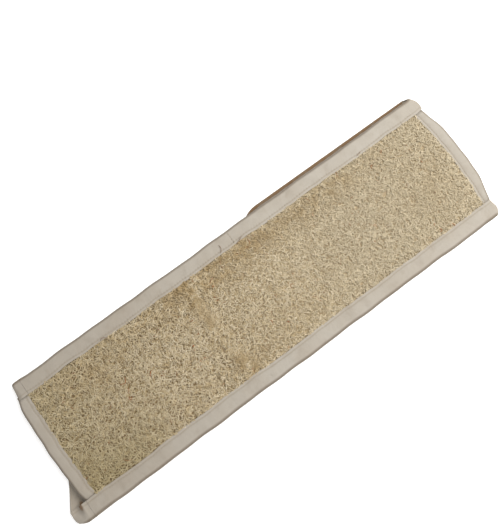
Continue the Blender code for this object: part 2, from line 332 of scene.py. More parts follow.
def terry_finish():
    finish = Finish("terry_towelling", 0.95)
    tone = finish.attribute("tone")
    patches = finish.spots(20, 3.0, 0.5)
    base = finish.mix(tone * 0.5, (0.50, 0.465, 0.40), (0.64, 0.61, 0.54))
    base = finish.mix(patches * 0.25, base, (0.44, 0.385, 0.30))
    finish.colour(base)
    finish.bump(finish.spots(3000, 2.0), 0.1)
    return finish.material


COTTON = cotton_finish("cotton_tape", (0.404, 0.371, 0.320), (0.22, 0.178, 0.13), (0.36, 0.318, 0.262))
LOOSE_THREAD = thread_finish("brown_thread", (0.26, 0.16, 0.09), (0.14, 0.08, 0.045))
THREAD = thread_finish("sewing_thread", (0.40, 0.35, 0.27), (0.26, 0.215, 0.155))
FIBRE, BED, TERRY = fibre_finish(), bed_finish(), terry_finish()

# ---------------------------------------------------------------- mesh tools


def mesh_piece(name, points, faces, material, flat=0, bake_map=None, **attributes):
    """A mesh of points in the panel's frame. faces lists arrays of faces, and as many as flat says of the last
    ones are shaded flat. Attributes hold one number a point."""
    mesh = bpy.data.meshes.new(name)
    corners = np.concatenate([f.ravel() for f in faces])
    sizes = np.concatenate([np.full(len(f), f.shape[1]) for f in faces])
    mesh.vertices.add(len(points))
    mesh.vertices.foreach_set("co", place(points).astype(np.float32).ravel())
    mesh.loops.add(len(corners))
    mesh.loops.foreach_set("vertex_index", corners.astype(np.int32))
    mesh.polygons.add(len(sizes))
    mesh.polygons.foreach_set("loop_start", np.concatenate([[0], np.cumsum(sizes)[:-1]]).astype(np.int32))
    mesh.polygons.foreach_set("use_smooth", np.arange(len(sizes)) < len(sizes) - flat)
    mesh.update(calc_edges=True)
    mesh.validate()
    for key, values in attributes.items():
        layer = mesh.attributes.new(key, "FLOAT", "POINT")
        layer.data.foreach_set("value", np.asarray(values, np.float32).ravel())
    if bake_map is not None and len(bake_map) == len(mesh.loops):
        mesh.uv_layers.new(name="OFBake").data.foreach_set("uv", bake_map.astype(np.float32).ravel())
    made = bpy.data.objects.new(name, mesh)
    bpy.context.scene.collection.objects.link(made)
    mesh.materials.append(material)
    return made


def ripple(rng, where, wavelength, size):
    """A smooth wander along a line, of about this wavelength and size."""
    total = np.zeros_like(np.asarray(where, float))
    for stretch in (1.0, 0.61, 0.37, 1.9):
        total += np.sin(2 * np.pi * where / (wavelength * stretch) + rng.uniform(0, 2 * np.pi))
    return total * size / 2


def ripple_2d(rng, x, y, wavelength, size, waves=7):
    total = np.zeros(np.broadcast(x, y).shape)
    for _ in range(waves):
        angle, stretch = rng.uniform(0, np.pi), rng.uniform(0.6, 1.6)
        ramp = (x * math.cos(angle) + y * math.sin(angle)) * 2 * np.pi / (wavelength * stretch)
        total += np.sin(ramp + rng.uniform(0, 2 * np.pi))
    return total * size / math.sqrt(waves)


def tubes(lines, radii, sides=4, flatten=1.0):
    """Closed tubes along many lines at once: their points, the quads of their skins and the flat caps at
    their tips. lines is (count, points, 3) and radii (count, points)."""
    count, steps, _ = lines.shape
    along = np.gradient(lines, axis=1)
    along /= np.linalg.norm(along, axis=2, keepdims=True) + 1e-9
    side = np.cross(along, np.array([0, 0, 1.0]))
    length = np.linalg.norm(side, axis=2, keepdims=True)
    side = np.where(length > 0.05, side / (length + 1e-9), np.array([1.0, 0, 0]))
    up = np.cross(side, along)
    angles = np.arange(sides) * 2 * np.pi / sides + np.pi / sides
    ring = (side[:, :, None, :] * np.cos(angles)[None, None, :, None]
            + up[:, :, None, :] * np.sin(angles)[None, None, :, None] * flatten)
    points = lines[:, :, None, :] + ring * radii[:, :, None, None]
    one = np.arange(steps * sides).reshape(steps, sides)
    across = np.roll(one, -1, axis=1)
    quads = np.stack([one[:-1], one[1:], across[1:], across[:-1]], axis=-1).reshape(-1, 4)
    caps = np.stack([one[0], one[-1][::-1]])
    offsets = np.arange(count)[:, None, None] * steps * sides
    return (points.reshape(-1, 3), (quads[None] + offsets).reshape(-1, 4),
            (caps[None] + offsets).reshape(-1, sides))


def tube_map(count, steps, sides):
    """A flat map of many tubes: a square cell for each, its skin in the middle and its tips on both sides."""
    cells = math.ceil(math.sqrt(count))
    i, j = (v.ravel() for v in np.meshgrid(np.arange(steps - 1), np.arange(sides), indexing="ij"))
    u = 0.14 + 0.7 * np.stack([i, i + 1, i + 1, i], -1) / (steps - 1)
    v = 0.04 + 0.84 * np.stack([j, j, j + 1, j + 1], -1) / sides
    angles = np.arange(sides) * 2 * np.pi / sides
    tip = np.stack([0.06 + 0.05 * np.cos(angles), 0.4 + 0.3 * np.sin(angles)], -1)
    corner = np.stack([np.arange(count) % cells, np.arange(count) // cells], -1)
    skins = (np.stack([u, v], -1).reshape(1, -1, 2) + corner[:, None]).reshape(-1, 2)
    tips = (np.concatenate([tip, (tip + (0.84, 0))[::-1]])[None] + corner[:, None]).reshape(-1, 2)
    return np.concatenate([skins, tips]) / cells


def tube_piece(name, lines, radii, material, sides=4, flatten=1.0, **each):
    """One mesh of many tubes. each holds one number a tube; run is the place along the tube."""
    points, quads, caps = tubes(lines, radii, sides, flatten)
    count, steps, _ = lines.shape
    gaps = np.linalg.norm(np.diff(lines, axis=1), axis=2)
    run = np.concatenate([np.zeros((count, 1)), np.cumsum(gaps, axis=1)], axis=1)
    attributes = {"run": np.repeat(run[:, :, None], sides, axis=2),
                  "across": np.tile(np.arange(sides) * 2 * np.pi / sides, count * steps)}
    for key, values in each.items():
        attributes[key] = np.repeat(values, steps * sides)
    flat_map = tube_map(count, steps, sides)
    return mesh_piece(name, points, [quads, caps], material, bake_map=flat_map, **attributes)


# ---------------------------------------------------------------- folded tape


def end_edge_x(side, y):
    """x of the panel's end at y. The left end is straighter and the right end a little skewed."""
    lean = (y - 12.0) if side > 0 else (y - 8.0)
    bulge = 0.00118 * lean ** 2 if side > 0 else 0.00085 * lean ** 2
    return side * (HALF_LENGTH + (0.8 if side > 0 else -0.6) - bulge)


FACE_POINTS, TURN_POINTS, LIP_POINTS, INSIDE_POINTS, INSIDE_TURN_POINTS = 15, 9, 3, 8, 4
LEAST_HOLLOW = 0.06  # half the gap that is left inside a tape folded flat on itself


def tape_section(width, thick, swell, pucker, lift, roundness):
    """Sections of a tape folded over its length, one a station: how far each point is from the fold edge, and
    its height above the middle. Arguments are one number a station."""
    width, thick, swell, pucker, lift, roundness = (
        np.asarray(v, float)[:, None] for v in (width, thick, swell, pucker, lift, roundness)
    )
    share = np.linspace(1, 0, FACE_POINTS)[None] ** 1.05
    seam = width - SEAM_INSET
    face_d = roundness + (width - roundness) * share

    def crown(d):
        inside = np.clip(d / seam, 0, 1)
        dome = np.sin(np.pi * inside) ** 0.7 * swell
        dip = -pucker * np.exp(-(((d - seam) / 1.1) ** 2))
        flare = lift * np.clip((d - seam) / SEAM_INSET, 0, 1.2) ** 2
        return dome + dip + flare

    def side(sign, d, inset):
        return sign * (thick / 2 - inset + crown(d) * (1 if inset == 0 else 0.8))

    turn = np.linspace(0, np.pi, TURN_POINTS + 2)[None, 1:-1]
    outer_turn_d = roundness * (1 - np.sin(turn))
    outer_turn_h = np.cos(turn) * thick / 2
    lips = np.linspace(0, np.pi, LIP_POINTS + 2)[None, 1:-1]
    lip_d = width + np.sin(lips) * TAPE * 0.35
    inner_start = roundness + TAPE * 0.6
    inner_d = inner_start + (width - inner_start) * np.linspace(0, 1, INSIDE_POINTS)[None]
    inner_turn = np.cos(np.linspace(0, np.pi, INSIDE_TURN_POINTS)[None])
    inner_turn_d = TAPE * 0.8 + np.abs(inner_turn) * (roundness - TAPE * 0.3)
    inner_turn_h = inner_turn * np.maximum(thick / 2 - TAPE, LEAST_HOLLOW) * 0.9
    cavity = np.minimum(TAPE, thick / 2 - LEAST_HOLLOW)
    flip = inner_d[:, ::-1]
    d = [
        face_d, outer_turn_d + 0 * thick, face_d[:, ::-1], lip_d,
        flip, inner_turn_d + 0 * thick, inner_d, lip_d,
    ]
    lip_mid = thick / 2 - TAPE / 2 + crown(width)
    h = [
        side(1, face_d, 0), outer_turn_h, side(-1, face_d[:, ::-1], 0),
        -lip_mid - np.cos(lips) * TAPE / 2,
        -(thick / 2 - cavity + crown(flip) * 0.8), -inner_turn_h,
        thick / 2 - cavity + crown(inner_d) * 0.8,
        lip_mid - np.cos(lips) * TAPE / 2,
    ]
    rows = len(width)
    d = np.concatenate([np.broadcast_to(v, (rows, v.shape[1])) for v in d], axis=1)
    h = np.concatenate([np.broadcast_to(v, (rows, v.shape[1])) for v in h], axis=1)
    return d, h


def sweep(name, rings, material, run, across, marks_and_shade):
    """A closed skin over rings of points, one ring a station, with its two ends capped. run and worn hold one
    number a station, or worn one a point; across holds each point's distance from the fold."""
    stations, corners, _ = rings.shape
    one = np.arange(stations * corners).reshape(stations, corners)
    other = np.roll(one, -1, axis=1)
    quads = np.stack([one[:-1], one[1:], other[1:], other[:-1]], axis=-1).reshape(-1, 4)
    caps = np.stack([one[0], one[-1][::-1]])
    inset = across.max(axis=1, keepdims=True) - across
    attributes = {
        "run": np.repeat(run, corners),
        "across": across.ravel(),
        "inset": inset.ravel(),
        "marks_and_shade": np.broadcast_to(np.reshape(marks_and_shade, (stations, -1)), (stations, corners)).ravel(),
    }
    return mesh_piece(name, rings.reshape(-1, 3), [quads, caps], material, flat=len(caps), **attributes)


STITCH_PITCH = 3.1
STITCH_LENGTH = 2.3
STITCH_SHARES = np.array([0.0, 0.14, 0.5, 0.86, 1.0])
STITCH_HEIGHTS = np.array([-0.42, 0.02, 0.16, 0.02, -0.42])
STITCH_RADII = np.array([0.13, 0.21, 0.24, 0.21, 0.13])


def stitch_pucker(run, depth):
    """How deep the stitches pull the tape in along its seam."""
    return depth * (0.62 + 0.38 * np.cos(2 * np.pi * run / STITCH_PITCH))


def stitches(name, surface, length, bodies):
    """A row of lock stitches. surface(run) gives points of the seam at places along it, and the way up."""
    count = int(length / STITCH_PITCH)
    starts = np.arange(count) * STITCH_PITCH + STITCH_PITCH / 2 - STITCH_LENGTH / 2
    runs = starts[:, None] + STITCH_SHARES[None] * STITCH_LENGTH
    base, up = surface(np.clip(runs, 0, length).ravel())
    lines = (base + up * np.tile(STITCH_HEIGHTS, count)[:, None]).reshape(count, len(STITCH_SHARES), 3)
    radii = np.tile(STITCH_RADII, (count, 1))
    made = tube_piece(name, lines, radii, THREAD, sides=5)
    return ride_on(made, bodies)


def ride_on(piece, bodies):
    """bodies is a body's name, which the piece is attached to. For fold, what crosses the panel's fold, and
    for a hand loop's side, what lies over that loop's corner, the piece is only left in place on no body."""
    if bodies == "fold":
        low, high = place([(FOLD_X - FOLD_REACH, 0, 0), (FOLD_X + FOLD_REACH, 0, 0)])
        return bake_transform(piece)
    if bodies in ("left", "right"):
        top, bottom = TURN_Z + TURN_RADIUS - STRAP_THICKNESS * 0.6, STRAP_THICKNESS + 0.9
        low, high = place([(0, 0, top), (0, 0, bottom)])
        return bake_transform(piece)
    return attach(piece, bodies)


# ---------------------------------------------------------------- long edges


STATION = 0.8
TAPER = 9.0  # over this length a long edge's tape closes to the doubled strap
STRAP_TOP = FRONT - STRAP_THICKNESS / 2

# Each corner: where the long edge's own tape stops, where its strap starts to turn over, and how far the fold
# reaches from there at places across the strap, from the outer edge of the panel inwards.
CORNERS = {
    ("left", 1): {
        "stop": -233.0, "turn": -238.0,
        "reach": ((-1, 3.2), (1, 4.9), (4, 5.2), (10, 5.9), (18, 7.4)),
    },
    ("left", -1): {
        "stop": -243.5, "turn": -248.5,
        "reach": ((-1, 2.4), (0.5, 6.0), (2, 9.8), (4, 12.9), (7, 14.6), (11, 15.0), (18, 15.0)),
    },
    ("right", 1): {
        "stop": 232.0, "turn": 237.0,
        "reach": ((-1, 4.0), (0, 5.4), (4, 8.8), (8, 10.6), (12, 11.0), (18, 9.4)),
    },
    ("right", -1): {
        "stop": 229.0, "turn": 234.0,
        "reach": ((-1, 1.5), (1, 3.4), (3, 5.8), (6, 7.6), (9, 8.0), (18, 6.6)),
    },
}


def smooth_step(x):
    x = np.clip(x, 0, 1)
    return x * x * (3 - 2 * x)


def spot(x, y, middle, reach):
    """1 in the middle of a spot, fading to nothing past its reach each way."""
    return np.exp(-(((x - middle[0]) / reach[0]) ** 2) - ((y - middle[1]) / reach[1]) ** 2)


def greyer_leftwards(x):
    """The tape is greyer towards the left end."""
    return 0.42 * smooth_step((60 - x) / 300)


def long_edge(name, y_sign, seed):
    """The tape folded over a long edge of the panel, closing at both ends to the doubled strap."""
    rng = np.random.default_rng(seed)
    low, high = (CORNERS[(half, y_sign)]["stop"] for half in ("left", "right"))
    x = np.arange(low, high + STATION / 2, STATION)
    x[-1] = high
    closing = smooth_step(1 - np.minimum(x - low, high - x) / TAPER)
    thick = (FRONT - BACK) * (1 - closing) + STRAP_THICKNESS * closing
    outer = y_sign * (HALF_WIDTH + ripple(rng, x, 95, 0.35) * (1 - closing))
    width = TAPE_FACE + (ripple(rng, x, 42, 0.22) + ripple(rng, x, 150, 0.5)) * (1 - closing)
    middle = FRONT - thick / 2 + ripple(rng, x, 60, 0.12) * (1 - closing)
    pucker = stitch_pucker(x, 0.42) * (1 - closing * 0.85)
    swell = (0.42 + ripple(rng, x, 31, 0.08)) * (1 - closing) + 0.1 * closing
    lift = 0.02 + ripple(rng, x, 13, 0.06) * (1 - closing)
    roundness = 2.3 * (1 - closing) + 0.9 * closing
    d, h = tape_section(width, thick, swell, pucker, lift, roundness)
    x_all = np.broadcast_to(x[:, None], d.shape)
    rings = np.stack([x_all, outer[:, None] - y_sign * d, middle[:, None] + h], -1)
    if y_sign < 0:
        rings = rings[::-1]
    order = slice(None, None, y_sign)
    piece = sweep(name, rings, COTTON, x[order], d[order], greyer_leftwards(x)[order])
    ride_on(piece, "fold")

    def seam(face):
        def surface(run):
            at = low + run
            edge, wide, deep = (np.interp(at, x, v) for v in (outer, width, thick))
            mid, dip = np.interp(at, x, middle), np.interp(at, x, pucker)
            y = edge - y_sign * (wide - SEAM_INSET)
            points = np.stack([at, y, mid + face * (deep / 2 - dip * 0.95)], -1)
            return points, np.tile([0, 0, float(face)], (len(at), 1))
        return surface

    word = "upper" if y_sign > 0 else "lower"
    for face, kind in ((1, "needle"), (-1, "bobbin")):
        row = stitches(f"{kind}_stitches_{word}", seam(face), high - low, "fold")
        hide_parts(f"{kind}_thread_{word}_left", f"{kind}_thread_{word}_right")
    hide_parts(f"binding_{word}_left", f"binding_{word}_right")
    (high - low) / 1000


END_TUCK = {("left", 1): 1.6, ("left", -1): 0.8, ("right", 1): 3.0, ("right", -1): 4.6}
END_UNDER = 3.0  # how far an end's tape runs on under the long edges
END_SEAM_GAP = 2.0  # from a long edge's tape to an end seam's first stitch


def end_tuck(half, y):
    """How far the strap's turn holds the end's tape in towards the corners."""
    most = np.where(np.asarray(y) > 0, END_TUCK[(half, 1)], END_TUCK[(half, -1)])
    over = 10 if half == "left" else 34
    return smooth_step((np.abs(y) - INNER_Y + over) / (over + 2)) * most


def end_width(half, y):
    return END_FACE - 1.3 * smooth_step((np.abs(y) - 30) / 30) - end_tuck(half, y) * 0.7


def end_inner_x(x, y):
    """Distance of the end tape's inner edge from the panel's middle, on the side that x is on."""
    right = end_edge_x(1, y) - end_tuck("right", y) - end_width("right", y)
    left = -end_edge_x(-1, y) - end_tuck("left", y) - end_width("left", y)
    return np.where(np.asarray(x) > 0, right, left)


def end_edge(name, side, seed):
    """The tape folded over an end of the panel; its own ends go under the long edges."""
    rng = np.random.default_rng(seed)
    half = "left" if side < 0 else "right"
    reach = INNER_Y + END_UNDER
    y = np.arange(-reach, reach + STATION / 2, STATION)
    y[-1] = reach
    under = smooth_step((np.abs(y) - INNER_Y + 3.2) / 4.2)
    thick = (FRONT - BACK) * (1 - under * 0.64)
    outer = end_edge_x(side, y) + ripple(rng, y, 60, 0.3) - side * end_tuck(half, y)
    width = end_width(half, y) + ripple(rng, y, 34, 0.25)
    middle = np.full(len(y), (FRONT + BACK) / 2) + ripple(rng, y, 50, 0.1)
    pucker = stitch_pucker(y, 0.17)
    swell = (0.4 + ripple(rng, y, 27, 0.08)) * (1 - under)
    lift = 0.02 + ripple(rng, y, 12, 0.06)
    d, h = tape_section(width, thick, swell, pucker, lift, np.full(len(y), 2.4))
    y_all = np.broadcast_to(y[:, None], d.shape)
    rings = np.stack([outer[:, None] - side * d, y_all, middle[:, None] + h], -1)
    if side > 0:
        rings = rings[::-1]
    order = slice(None, None, -side)
    piece = sweep(name, rings, COTTON, y[order], d[order], greyer_leftwards(outer)[order])
    ride_on(piece, f"panel_{half}")

    def seam(face):
        def surface(run):
            at = END_SEAM_GAP - INNER_Y + run
            edge, wide, deep = (np.interp(at, y, v) for v in (outer, width, thick))
            mid, dip = np.interp(at, y, middle), np.interp(at, y, pucker)
            x = edge - side * (wide - SEAM_INSET)
            points = np.stack([x, at, mid + face * (deep / 2 - dip * 0.95)], -1)
            return points, np.tile([0, 0, float(face)], (len(at), 1))
        return surface

    length = 2 * (INNER_Y - END_SEAM_GAP)
    for face, kind in ((1, "needle"), (-1, "bobbin")):
        row = stitches(f"{kind}_stitches_end_{half}", seam(face), length, f"panel_{half}")
        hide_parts(f"{kind}_thread_end_{half}")
    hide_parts(f"end_binding_{half}")
    2 * reach / 1000


# ---------------------------------------------------------------- hand loops


BEND_POINTS = 9
LEG_STEP = 2.0


def rounded_path(corners, radii):
    """A line through corners in the plane with an arc at each inner one, and a point every step."""
    path = [np.array(corners[0], float)]
    for before, corner, after, radius in zip(corners, corners[1:], corners[2:], radii):
        corner = np.array(corner, float)
        a, b = (np.array(p, float) - corner for p in (before, after))
        a, b = a / np.linalg.norm(a), b / np.linalg.norm(b)
        opening = math.acos(np.clip(a @ b, -1, 1))
        reach = radius / math.tan(opening / 2)
        middle = corner + (a + b) / np.linalg.norm(a + b) * radius / math.sin(opening / 2)
        start, end = corner + a * reach - middle, corner + b * reach - middle
        for share in np.linspace(0, 1, BEND_POINTS):
            between = start * (1 - share) + end * share
            path.append(middle + between / np.linalg.norm(between) * radius)
    path.append(np.array(corners[-1], float))
    path = np.array(path)
    gone = np.concatenate([[0], np.cumsum(np.linalg.norm(np.diff(path, axis=0), axis=1))])
    even = np.linspace(0, gone[-1], int(gone[-1] / LEG_STEP) + 1)
    return np.stack([np.interp(even, gone, path[:, i]) for i in (0, 1)], -1), even


# The middle line of each loop behind the panel, from its upper fold to its lower one, and its bends' radii.
LEG_ROUTES = {
    "left": (
        ((-238.0, 65.0), (-225.0, 64.6), (-65.7, 58.0), (-65.7, -62.0), (-215.0, -64.6), (-248.5, -65.0)),
        (60, 25, 25, 60),
    ),
    "right": (
        ((237.0, 69.2), (30.0, 70.0), (30.0, 23.5), (213.0, -64.5), (234.0, -65.0)),
        (20, 20, 20),
    ),
}
ARC_STEPS = 27
TOP_STEPS = 10
STRAP_UNDER = 1.5  # how far a strap starts inside the end of its long edge's tape
FLARE_WIDTH, FLARE_LENGTH = 25.5, 50.0  # how much wider the left strap opens at its lower fold, over what run
STAIN, STAIN_SIZE, STAIN_DEPTH = (-250.6, -57.6), (2.0, 4.0), 2.6  # a brown spot in the lower left corner
RIDGE, RIDGE_WIDTH = 0.45, 1.6  # the crease where the lower left tape turns over the thick end of the panel
LOOP_SEAM_START = 22.0
LOOP_SEAM_END = {"left": 60.0, "right": 22.0}


def hand_loop(half, seed):
    """The tape doubled into a strap: over the top of one corner, behind the panel and up round the other."""
    rng = np.random.default_rng(seed)
    side = -1 if half == "left" else 1
    corners, bends = LEG_ROUTES[half]
    route, gone = rounded_path(corners, bends)
    heading = np.gradient(route, axis=0)
    heading /= np.linalg.norm(heading, axis=1, keepdims=True)
    outward = np.stack([-heading[:, 1], heading[:, 0]], -1) * (1 if side < 0 else -1)
    count = len(route)
    leg_wave = np.maximum(ripple(rng, gone, 70, 0.12) + 0.2, 0)
    leg_z = STRAP_THICKNESS / 2 + 0.16 + leg_wave * smooth_step(np.minimum(gone, gone[-1] - gone) / 25)
    flare = np.zeros(count)
    if side < 0:
        left = gone[-1] - gone
        flare = FLARE_WIDTH * (1 - smooth_step(left / FLARE_LENGTH))
    width = STRAP_WIDTH + ripple(rng, gone, 38, 0.18) + flare
    pucker = stitch_pucker(gone, 0.22) * (flare < 1)
    # Painted shade and grime on the right strap's upper leg, where its outer edge shows past the panel's upper
    # edge.
    edge_shade_and_grime = np.where((route[:, 1] > 60) & (side > 0), 0.95 + ripple(rng, gone, 23, 0.2), 0)
    swell = 0.12 + ripple(rng, gone, 29, 0.05)
    lift = 0.05 + ripple(rng, gone, 16, 0.05)

    def section(wide, dip, bulge, raised):
        one = [np.array([v]) for v in (wide, STRAP_THICKNESS, bulge, dip, raised, 0.9)]
        d, h = tape_section(*one)
        return d[0], h[0]

    def top_and_turn(y_sign, fold_point, fold_out, fold_width):
        """Sections from the long edge's end over the top and round to just above the leg."""
        corner = CORNERS[(half, y_sign)]
        far, reach = zip(*corner["reach"])
        made = []
        outer_top = y_sign * HALF_WIDTH
        outer_leg = fold_point[1] + fold_out[1] * STRAP_WIDTH / 2
        flared = half == "left" and y_sign < 0
        for x in np.linspace(corner["stop"] - side * STRAP_UNDER, corner["turn"], TOP_STEPS)[:-1]:
            d, h = section(TAPE_FACE, stitch_pucker(x, 0.06), 0.1, 0.02)
            ridge = RIDGE * math.exp(-(((x - corner["turn"]) / RIDGE_WIDTH) ** 2)) * flared
            thinned = 0.97 if side * (x - corner["stop"]) < 0 else 1  # what lies inside the long edge's tape
            z = STRAP_TOP + h * thinned + ridge
            made.append((np.stack([0 * d + x, outer_top - y_sign * d, z], -1), d, 0 * d + greyer_leftwards(x)))
        for angle in np.linspace(0, np.pi, ARC_STEPS + 1):
            share = angle / np.pi
            opened = np.clip(share * 2 - 1, 0, 1) ** 1.6 if flared else share
            wide = TAPE_FACE * (1 - opened) + fold_width * opened
            d, h = section(wide, 0.05, 0.12, 0.0)
            outer = outer_top * (1 - share) + outer_leg * share
            y = outer - y_sign * d
            inwards = (HALF_WIDTH - np.abs(y)) * (1 - share) + d * share
            span = np.interp(inwards, far, reach) - STRAP_THICKNESS / 2 + h
            ease = 1 - 0.25 * share * (1 - share)
            shift = (fold_point[0] - corner["turn"]) * smooth_step(share)
            x = corner["turn"] + shift + side * span * math.sin(angle) * ease
            z = TURN_Z + (TURN_RADIUS + h) * math.cos(angle)
            if flared:
                slack = max(2 * TURN_RADIUS * math.cos(angle) - STRAP_THICKNESS - 0.1, 0)
                z = z - slack * smooth_step((d - 3) / 14) * smooth_step(share / 0.15)
                past_turn = span.mean() * math.sin(angle)
                z = z + RIDGE * math.exp(-((past_turn / RIDGE_WIDTH) ** 2)) * (share < 0.5)
                corner_marks_and_shade = greyer_leftwards(x) + STAIN_DEPTH * spot(x, y, STAIN, STAIN_SIZE)
            else:
                # Painted shade: the strap darkens as it turns round the corner and under.
                corner_marks_and_shade = greyer_leftwards(x) + smooth_step(share / 0.4) * 0.6
            made.append((np.stack([x, y, z], -1), d, corner_marks_and_shade))
        return made

    start = top_and_turn(1, route[0], outward[0], width[0])
    end = top_and_turn(-1, route[-1], outward[-1], width[-1])
    leg = []
    for i in range(1, count - 1):
        d, h = section(width[i], pucker[i], swell[i], lift[i])
        offset = STRAP_WIDTH / 2 - d
        flat = route[i] + outward[i] * offset[:, None]
        ring = np.concatenate([flat, (leg_z[i] - h)[:, None]], axis=1)
        # Painted shade: the strap is darker where it lies under the panel, less where the left one flares out.
        # The right strap's outer edge that shows past the upper edge gets painted shade and grime, in brown.
        leg.append((ring, d, 0.6 - 0.02 * flare[i] + edge_shade_and_grime[i] * 1.4 * (d < 4)))
    rings, acrosses, marks_and_shade = (np.array(part) for part in zip(*start, *leg, *reversed(end)))
    middles = rings.mean(axis=1)
    runs = np.concatenate([[0], np.cumsum(np.linalg.norm(np.diff(middles, axis=0), axis=1))])
    if side < 0:
        rings, runs, acrosses, marks_and_shade = rings[::-1], runs[::-1], acrosses[::-1], marks_and_shade[::-1]
    piece = sweep(f"hand_loop_strap_{half}", rings, COTTON, runs, acrosses, marks_and_shade)
    ride_on(piece, half)

    def seam(run):
        at = run + LOOP_SEAM_START
        x, y = (np.interp(at, gone, route[:, i]) for i in (0, 1))
        ox, oy = (np.interp(at, gone, outward[:, i]) for i in (0, 1))
        off = SEAM_INSET - STRAP_WIDTH / 2
        z, dip = np.interp(at, gone, leg_z), np.interp(at, gone, pucker)
        points = np.stack([x + ox * off, y + oy * off, z + STRAP_THICKNESS / 2 - dip * 0.9], -1)
        return points, np.tile([0, 0, 1.0], (len(at), 1))

    length = gone[-1] - LOOP_SEAM_START - LOOP_SEAM_END[half]
    row = stitches(f"hand_loop_stitches_{half}", seam, length, f"loop_{half}")
    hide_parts(f"loop_thread_{half}")
    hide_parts(f"hand_loop_{half}")


JOIN_MARGIN = 1.5  # from the tape's edges to the row of stitches that joins its lengths


def tape_join():
    """Where the upper tape's two lengths meet, a row of stitches crosses it."""

    def across(run):
        y = INNER_Y + JOIN_MARGIN + run
        points = np.stack([TAPE_JOIN_X + 0.08 * np.sin(run), y, np.full(len(run), FRONT + 0.32)], -1)
        return points, np.tile([0, 0, 1.0], (len(run), 1))

    row = stitches("tape_join_stitches", across, TAPE_FACE - 2 * JOIN_MARGIN, "panel_right")
    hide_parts("tape_join_thread")


def loose_ends():
    """Ends of sewing thread left lying by the seams."""
    rng = np.random.default_rng(17)
    starts = np.array([(-8, INNER_Y + 1, 0.4), (9, INNER_Y - 0.5, 0.1), (22, INNER_Y + 0.5, -0.5),
                       (92, -INNER_Y - 0.5, 2.5), (-150, INNER_Y, 0.9), (160, INNER_Y + 0.5, 0.2)])
    share = np.linspace(0, 1, 10)[None]
    angle = starts[:, 2:3] + rng.normal(0, 1.3, (len(starts), 1)) * share
    reach = rng.uniform(5, 11, (len(starts), 1)) / 9
    lines = np.stack([starts[:, 0:1] + np.cumsum(np.cos(angle), 1) * reach,
                      starts[:, 1:2] + np.cumsum(np.sin(angle), 1) * reach,
                      np.full(angle.shape, LOOFAH_TOP + 0.35) - 0.5 * (share < 0.1)], -1)
    piece = tube_piece("thread_ends", lines, np.full(angle.shape, 0.22), LOOSE_THREAD, sides=5)
    ride_on(piece, "fold")


long_edge("tape_edge_upper", 1, 11)
long_edge("tape_edge_lower", -1, 12)
end_edge("tape_edge_end_left", -1, 13)
end_edge("tape_edge_end_right", 1, 14)
hand_loop("left", 15)
hand_loop("right", 16)
tape_join()
loose_ends()

# ---------------------------------------------------------------- loofah


def coarse(x):
    """The left end of the loofah is coarser and more open than the right."""
    return smooth_step((40 - x) / 180)


def loofah_height(x, y):
    """Height of the loofah's surface: full inside the bindings, pressed down towards them."""
    rng = np.random.default_rng(21)
    to_side = INNER_Y - np.abs(y)
    to_end = end_inner_x(x, y) - np.abs(x)
    edge = np.minimum(to_side, to_end)
    pressed = 0.75 * np.exp(-np.clip(edge, -3, 40) / 2.6)
    lap = 0.3 * smooth_step((x - lap_edge(y)) / 1.5) * (1 - smooth_step((x - LAP_RIGHT + 4) / 9))
    return LOOFAH_TOP - pressed + ripple_2d(rng, x, y, 34, 0.16) + ripple_2d(rng, x, y, 11, 0.12) + lap


def lap_edge(y):
    """Where the upper loofah piece's ragged edge lies: it runs askew across the panel."""
    y = np.asarray(y, float)
    ragged = 1.1 * np.sin(y / 5.3) + 0.8 * np.sin(y / 2.1 + 1)
    return LAP_LEFT + 1.0 + 9.0 * smooth_step((-y - 10) / 60) + ragged


def inside_panel(x, y, over=0.0):
    return (np.abs(y) < INNER_Y + over) & (np.abs(x) < end_inner_x(x, y) + over)


BED_STEP = 2.4
BED_THICKNESS = 0.9
BED_UNDER = 5.0  # how far a bed runs on under the tape


def bed(name, material, height):
    """The matted ground under a pile or a fibre face, out under the tape on all sides."""
    xs = np.arange(-1, 1.0001, 2 / int(2 * HALF_LENGTH / BED_STEP))
    ys = np.linspace(-INNER_Y - BED_UNDER, INNER_Y + BED_UNDER, int(2 * INNER_Y / BED_STEP))
    share, y = np.meshgrid(xs, ys, indexing="ij")
    reach = end_inner_x(share, y) + BED_UNDER
    x = share * reach
    z = height(x, y)
    top = np.stack([x, y, z], -1)
    under = top.copy()
    under[..., 2] -= BED_THICKNESS
    rows, columns = x.shape
    one = np.arange(rows * columns).reshape(rows, columns)
    quads = np.stack([one[:-1, :-1], one[1:, :-1], one[1:, 1:], one[:-1, 1:]], -1).reshape(-1, 4)
    rim = np.concatenate([one[:-1, 0], one[-1, :-1], one[:0:-1, -1], one[0, :0:-1]])
    after = np.roll(rim, -1)
    size = rows * columns
    walls = np.stack([rim, rim + size, after + size, after], -1)
    points = np.concatenate([top.reshape(-1, 3), under.reshape(-1, 3)])
    # Painted shade for the mat, deeper under the coarser fibre.
    deep = 0.04 + coarse(points[:, 0]) * 0.6
    faces = [quads, quads[:, ::-1] + size, walls]
    return ride_on(mesh_piece(name, points, faces, material, deep=deep), "fold")


FIBRE_COUNT = 33000
FIBRE_POINTS = 7
FIBRE_BANDS = 10
FIBRE_FLATNESS = 0.75
LAP_STRANDS = 170


